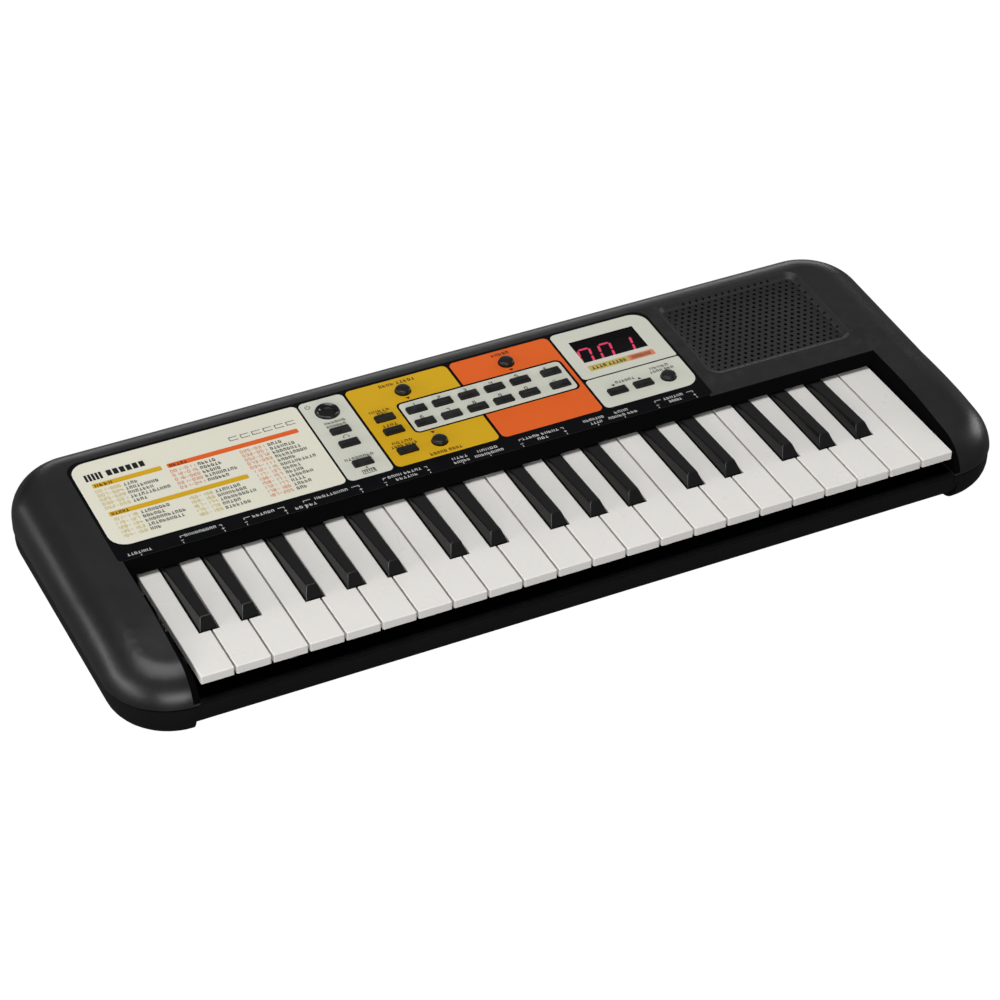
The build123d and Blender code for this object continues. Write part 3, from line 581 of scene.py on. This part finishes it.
# heading bars on the list block, and the tags in front of the display window
# name, x0, x1, y0, y1, radius, material
BARS = (
    ("list_bar_song", -212.0, -174.0, 54.6, 58.2, 0.9, YELLOW),
    ("list_bar_voice", -170.8, -97.0, 54.6, 58.2, 0.9, ORANGE),
    ("list_bar_style", -212.0, -135.3, 29.9, 33.5, 0.9, YELLOW),
    ("tag_song", 68.2, 92.0, 38.8, 43.6, (0.8, 0.05, 0.05, 0.8), TINT_YELLOW),
    ("tag_voice", 92.2, 108.0, 38.8, 43.6, (0.05, 0.8, 0.8, 0.05), TINT_ORANGE),
)
for name, x0, x1, y0, y1, radius, material in BARS:
    print_sheet(name, [box_outline(x0, x1, y0, y1, radius)], lift=0.06, thick=0.03,
                material=material)

# --------------------------------------------------------------------------
# Greeked lists: number ranges in tint, names in black
# --------------------------------------------------------------------------
LIST_PITCH = 3.6
list_names, yellow_numbers, orange_numbers = Strokes(0.09), Strokes(0.09), Strokes(0.09)


def list_rows(x_number, x_name, y_top, counts, numbers, first):
    """One column of rows; each has a number range and a name of count letters."""
    for row, count in enumerate(counts):
        y = y_top - LIST_PITCH * row - 1.0
        last = first + rng.randrange(3, 22)
        x = x_number
        for char in f"{first:03d}-{last:03d}":
            indent, width, advance = (0.1, 1.0, 2.05) if char == "-" else (0.0, 1.15, 2.03)
            digit(numbers, char, x + indent, y, width, height=1.95, stroke=0.36)
            x += advance
        first = last + 1
        words(list_names, x_name, y - 0.1, (count,), height=2.3, step=2.02, stroke=0.44)


# x of the numbers, x of the names, y of the top, letters in each name, ink, first number
for column in (
        (-212.0, -196.8, 51.6, (4, 9, 7, 11, 4), yellow_numbers, 1),
        (-170.8, -155.6, 51.6, (5, 6, 5, 9, 6), orange_numbers, 1),
        (-131.8, -116.3, 51.6, (4, 7, 8, 9, 5, 10, 5, 5, 7, 4, 5, 3), orange_numbers, 25),
        (-212.0, -196.6, 27.0, (8, 6, 11, 10, 3), yellow_numbers, 101),
        (-170.8, -155.6, 27.0, (7, 8, 10, 5, 7), yellow_numbers, 150)):
    list_rows(*column)
list_names.done("list_names", INK)
yellow_numbers.done("list_numbers_yellow", TINT_YELLOW)
orange_numbers.done("list_numbers_orange", TINT_ORANGE)

# --------------------------------------------------------------------------
# Inks on the blocks. Label rows are: x0, x1, y, letter counts, height, stroke
# --------------------------------------------------------------------------
headings = Strokes(0.10)
for row in ((-210.8, -201.5, 55.2, (4,), 2.3, 0.55),
            (-210.8, -201.5, 30.5, (5,), 2.3, 0.5),
            (70.0, 90.6, 39.9, (4, 5), 2.5, 0.6)):
    label(headings, *row)
headings.done("bar_headings", INK_BROWN)

headings = Strokes(0.10)
for row in ((-169.6, -160.1, 55.2, (5,), 2.3, 0.5),
            (94.4, 105.6, 39.9, (5,), 2.5, 0.55)):
    label(headings, *row)
headings.done("bar_headings_orange", INK_RUST)

# a plain mark: two short runs of bars like key tops
mark = Strokes(0.07)
# number of bars, first x, pitch, width, y0, y1
for bars, first_x, pitch, width, y0, y1 in ((5, -213.6, 2.0, 1.35, 60.9, 66.6),
                                            (6, -201.6, 3.6, 2.7, 61.6, 66.2)):
    for i in range(bars):
        mark.bar(first_x + i * pitch, y0, first_x + i * pitch + width, y1)
mark.done("plain_mark", INK)

# a row of six open boxes, each without its right side
line_mark = Strokes(0.07)
for i in range(6):
    x = -133.2 + i * 6.5
    y0, y1 = 62.6, 65.3
    line_mark.line((x, y1), (x + 4.9, y1), 0.42)
    line_mark.line((x, y0), (x + 4.9, y0), 0.42)
    line_mark.line((x + 0.2, y0), (x + 0.2, y1), 0.42)
line_mark.done("plain_line_mark", INK_GREY)

# numbers behind the number buttons, plus and minus at the end of each row
panel_ink = Strokes(0.07)
for column, x in enumerate(NUMBER_XS):
    for row, y in enumerate(NUMBER_YS):
        if column < 5:
            char = ("12345", "67890")[row][column]
            digit(panel_ink, char, x - 0.7, y + 3.65, width=1.35, height=2.3, stroke=0.44)
            continue
        sign_x, sign_y = x - 1.6, y + 4.7
        panel_ink.line((sign_x - 1.0, sign_y), (sign_x + 1.0, sign_y), 0.36)
        if row == 0:
            panel_ink.line((sign_x, sign_y - 1.0), (sign_x, sign_y + 1.0), 0.36)
panel_ink.triangle(73.5, 22.9, up=False)
panel_ink.triangle(89.2, 22.9, up=True)
for row in ((-82.2, -70.6, 54.4, (6,), 1.9, 0.42),
            (-82.2, -71.4, 51.3, (6,), 1.9, 0.42),
            (-84.7, -68.6, 21.6, (8,), 2.0, 0.42),
            (75.6, 86.8, 23.6, (6,), 2.0, 0.42),
            (98.2, 109.2, 26.9, (5,), 2.0, 0.42),
            (96.8, 111.0, 23.8, (4, 3), 2.0, 0.42)):
    label(panel_ink, *row)
panel_ink.done("panel_ink", INK)

icons = Strokes(0.07)
# open ring with a stem
icons.ring(-84.9, 72.2, radius=1.35, width=0.34, start=125, end=415)
icons.line((-84.9, 72.4), (-84.9, 74.1), 0.34)
# half ring with a block at each end, then a badge frame; bars are x0, y0, x1, y1
icons.ring(-75.8, 41.1, radius=1.5, width=0.34, start=0, end=180)
for bar in ((-77.6, 40.3, -77.0, 41.3), (-74.6, 40.3, -74.0, 41.3),
            (-80.0, 8.3, -72.6, 8.7), (-80.0, 11.3, -72.6, 11.7),
            (-80.0, 8.7, -79.6, 11.3), (-73.0, 8.7, -72.6, 11.3)):
    icons.bar(*bar)
# five bars inside the badge and a small cross behind it
for i in range(5):
    icons.bar(-78.8 + i * 1.25, 9.3, -78.2 + i * 1.25, 11.3)
icons.bar(-76.5, 12.4, -76.1, 13.9)
icons.bar(-77.0, 12.95, -75.6, 13.35)
icons.done("panel_icons", INK_GREY)

song_ink = Strokes(0.07)
for row in ((-43.0, -22.2, 71.8, (4, 5), 2.3, 0.5),
            (-56.8, -45.4, 53.2, (5,), 2.0, 0.42),
            (-53.2, -47.6, 50.8, (3,), 1.9, 0.42),
            (-54.9, -46.7, 39.6, (4,), 2.2, 0.48),
            (-56.4, -45.0, 24.2, (5,), 2.0, 0.42),
            (-58.1, -43.6, 21.2, (4, 4), 2.0, 0.42),
            (-41.6, -23.4, 7.9, (5, 4), 2.3, 0.5)):
    label(song_ink, *row)
song_ink.triangle(-32.3, 58.1, up=False, size=1.3)
song_ink.triangle(-32.5, 25.9, up=False, size=1.3)
song_ink.done("song_ink", INK_BROWN)

voice_ink = Strokes(0.07)
label(voice_ink, 24.3, 34.6, 72.1, (5,), height=2.3, stroke=0.5)
voice_ink.triangle(29.3, 58.1, up=False, size=1.3)
voice_ink.done("voice_ink", INK_RUST)

# --------------------------------------------------------------------------
# White labels and pointers on the dark strip behind the keys
# --------------------------------------------------------------------------
white = Strokes(0.02, 0.03)


def pointer(x):
    white.bar(x - 0.2, -4.85, x + 0.2, -3.75)


def sign(x, y, plus):
    arm, half = 0.75, 0.17
    white.bar(x - arm, y - half, x + arm, y + half)
    if plus:
        white.bar(x - half, y - arm, x + half, y + arm)


def bracket(x0, x1, y, left, right):
    """Corner marks that span a label, with minus and plus in front of their ends."""
    drop, stroke = 1.5, 0.34
    white.bar(x0, y - drop, x0 + stroke, y)
    white.bar(x0, y - stroke, x0 + left, y)
    white.bar(x1 - stroke, y - drop, x1, y)
    white.bar(x1 - right, y - stroke, x1, y)
    sign(x0 + 0.3, -2.35, plus=False)
    sign(x1 - 0.3, -2.15, plus=True)
    pointer(x0 + 0.2)
    pointer(x1 - 0.2)


# x0, x1, y, letter counts
for row in (
        (-214.7, -201.9, -2.9, (7,)), (-182.9, -165.9, -0.2, (9,)),
        (-145.8, -133.9, -0.4, (6,)), (-123.3, -111.6, -3.7, (2, 3)),
        (-111.1, -92.8, -0.2, (9,)), (-69.8, -50.9, -0.1, (4, 5)),
        (-66.5, -54.5, -3.4, (6,)), (-32.8, -24.2, 0.0, (4,)),
        (-33.1, -24.3, -3.3, (5,)), (-18.0, -6.7, 0.3, (5,)),
        (-21.0, -4.6, -3.1, (9,)), (7.9, 29.2, 0.1, (5, 5)),
        (15.7, 21.7, -3.1, (3,)), (44.3, 56.2, 0.2, (7,)),
        (47.1, 53.8, -3.0, (4,)), (63.0, 70.8, 0.4, (4,)),
        (58.0, 74.9, -2.8, (5, 3)), (92.5, 104.1, 0.2, (6,)),
        (94.5, 101.7, -3.0, (5,))):
    label(white, *row, height=1.85, stroke=0.36)
# x0, x1, y, lengths of the left and right arms
for row in ((-185.5, -162.6, 1.2, 2.3, 1.5), (-150.7, -128.2, 1.2, 3.6, 3.6),
            (-117.7, -86.1, 1.4, 4.2, 4.4), (-72.8, -47.5, 1.3, 1.9, 1.6),
            (6.0, 32.3, 1.6, 1.8, 1.6), (87.0, 110.3, 1.6, 3.9, 3.8)):
    bracket(*row)
for x in (-208.1, -28.6, -12.8, 50.7, 66.7):
    pointer(x)
white.done("strip_labels", INK_WHITE)

# --------------------------------------------------------------------------
# The three digits on the display module, sunk below the deck
# --------------------------------------------------------------------------
FACE_LIFT = -5.05
LED_WIDTH, LED_HEIGHT, LED_STROKE = 6.9, 13.0, 1.35
LED_SLANT = 0.20  # x shift per unit of y
LED_GAP = 0.42  # from a digit's corner to a segment's point
LED_Y = 58.0
lit, unlit = Strokes(FACE_LIFT, 0.12), Strokes(FACE_LIFT, 0.04)


def led_segment(strokes, start, end):
    """One segment, pointed at both ends, between two corners of the digit."""
    (x0, y0), (x1, y1) = start, end
    length = math.hypot(x1 - x0, y1 - y0)
    along_x, along_y = (x1 - x0) / length, (y1 - y0) / length
    half = LED_STROKE / 2

    def point(x, y, forward, sideways):
        return (x + along_x * forward - along_y * sideways,
                y + along_y * forward + along_x * sideways)

    shoulder = LED_GAP + half
    strokes.polygon([point(x0, y0, LED_GAP, 0), point(x0, y0, shoulder, -half),
                     point(x1, y1, -shoulder, -half), point(x1, y1, -LED_GAP, 0),
                     point(x1, y1, -shoulder, half), point(x0, y0, shoulder, half)])


def led_digit(char, center_x):
    ends = segment_ends(-LED_WIDTH / 2, -LED_HEIGHT / 2, LED_WIDTH, LED_HEIGHT)
    for segment, corners in ends.items():
        start, end = [(center_x + x + LED_SLANT * y, LED_Y + y) for x, y in corners]
        led_segment(lit if segment in SEGMENTS[char] else unlit, start, end)


for char, x in zip("001", (75.0, 87.6, 100.3)):
    led_digit(char, x)
lit.done("display_segments_lit", LED, slot="display")
unlit.done("display_segments_unlit", LED_OFF, slot="display")

# --------------------------------------------------------------------------
# Floor, light and camera, in metres
# --------------------------------------------------------------------------


def floor_material():
    """Grey to the light it bounces, near white to the camera."""
    shader = Shader("pale_floor")
    shader.surface({
        "Base Color": shader.ramp(shader.noise(3), [(0.3, (0.12,) * 3), (0.7, (0.13,) * 3)]),
        "Roughness": shader.remap(shader.noise(20), span=(0.3, 0.7), to=(0.7, 0.85)),
        "Specular IOR Level": 0.0})
    white_tone = shader.ramp(shader.noise(3), [(0.3, (0.995,) * 3), (0.7, (1.0,) * 3)])
    lamp = shader.add("ShaderNodeEmission", {"Color": white_tone, "Strength": 1.02})
    ray = shader.add("ShaderNodeLightPath").outputs["Is Camera Ray"]
    pick = shader.add("ShaderNodeMixShader", {
        0: ray, 1: shader.principled.outputs[0], 2: lamp.outputs[0]})
    shader.feed(shader.output.inputs[0], pick.outputs[0])
    return shader.material


def build_floor():
    """A flat floor that curves up behind the keyboard."""
    half_width, half_depth, curve_radius = 5.0, 3.0, 2.0
    steps, flat_share = 24, 0.6
    bm = bmesh.new()
    rows = []
    for i in range(steps + 1):
        t = i / steps
        if t < flat_share:
            y, z = -half_depth + (t / flat_share) * 2 * half_depth, 0.0
        else:
            angle = (t - flat_share) / (1 - flat_share) * math.pi / 2
            y = half_depth + curve_radius * math.sin(angle)
            z = curve_radius - curve_radius * math.cos(angle)
        rows.append([bm.verts.new((x, y, z)) for x in (-half_width, half_width)])
    for near, far in zip(rows, rows[1:]):
        bm.faces.new((near[0], near[1], far[1], far[0]))
    mesh = finish_mesh(bm, "floor")
    for face in mesh.polygons:
        face.use_smooth = True
    floor = add_object("floor", mesh)
    mesh.materials.append(floor_material())


build_floor()

world = bpy.data.worlds.new("studio")
world.use_nodes = True
background = world.node_tree.nodes["Background"]
background.inputs["Color"].default_value = (1.0, 1.0, 1.0, 1.0)
background.inputs["Strength"].default_value = 0.18
bpy.context.scene.world = world

# name, place, height of the aim point over the origin, width, height, power in watts
LIGHTS = (
    ("top_light", (-0.3, 0.12, 2.6), 0.03, 1.8, 1.8, 42),
    ("left_strip", (-1.8, 0.22, 0.36), 0.03, 2.5, 0.35, 15),
    ("left_light", (-1.75, -0.25, 0.6), 0.03, 0.6, 0.35, 2),
    ("front_light", (-0.6, -2.0, 0.50), 0.03, 1.6, 0.5, 22),
    ("side_light", (1.7, 0.25, 0.48), 0.03, 0.6, 0.6, 5),
    ("rim_light", (1.0, 2.5, 0.40), 0.05, 2.2, 0.5, 9),
)
for name, place, aim_z, width, height, power in LIGHTS:
    light = bpy.data.lights.new(name, "AREA")
    light.shape = "RECTANGLE"
    light.size, light.size_y = width, height
    light.energy = power
    lamp = add_object(name, light)
    lamp.location = place
    aim = Vector((0, 0, aim_z)) - Vector(place)
    lamp.rotation_euler = aim.to_track_quat("-Z", "Y").to_euler()

lens = bpy.data.cameras.new("camera")
lens.sensor_width = 36.0
lens.lens = 115.6428
lens.clip_start, lens.clip_end = 0.05, 50
camera = add_object("camera", lens)
# the camera's own x, y and z axes: right, up and backward
axes = Matrix(((0.901300, -0.433193, 0.001546),
               (0.261262, 0.546420, 0.795718),
               (-0.345544, -0.716777, 0.605665)))
view = axes.transposed().to_4x4()
view.translation = (-0.59763, -1.22846, 1.05301)
camera.matrix_world = view
bpy.context.scene.camera = camera
bpy.context.scene.view_settings.view_transform = "Standard"
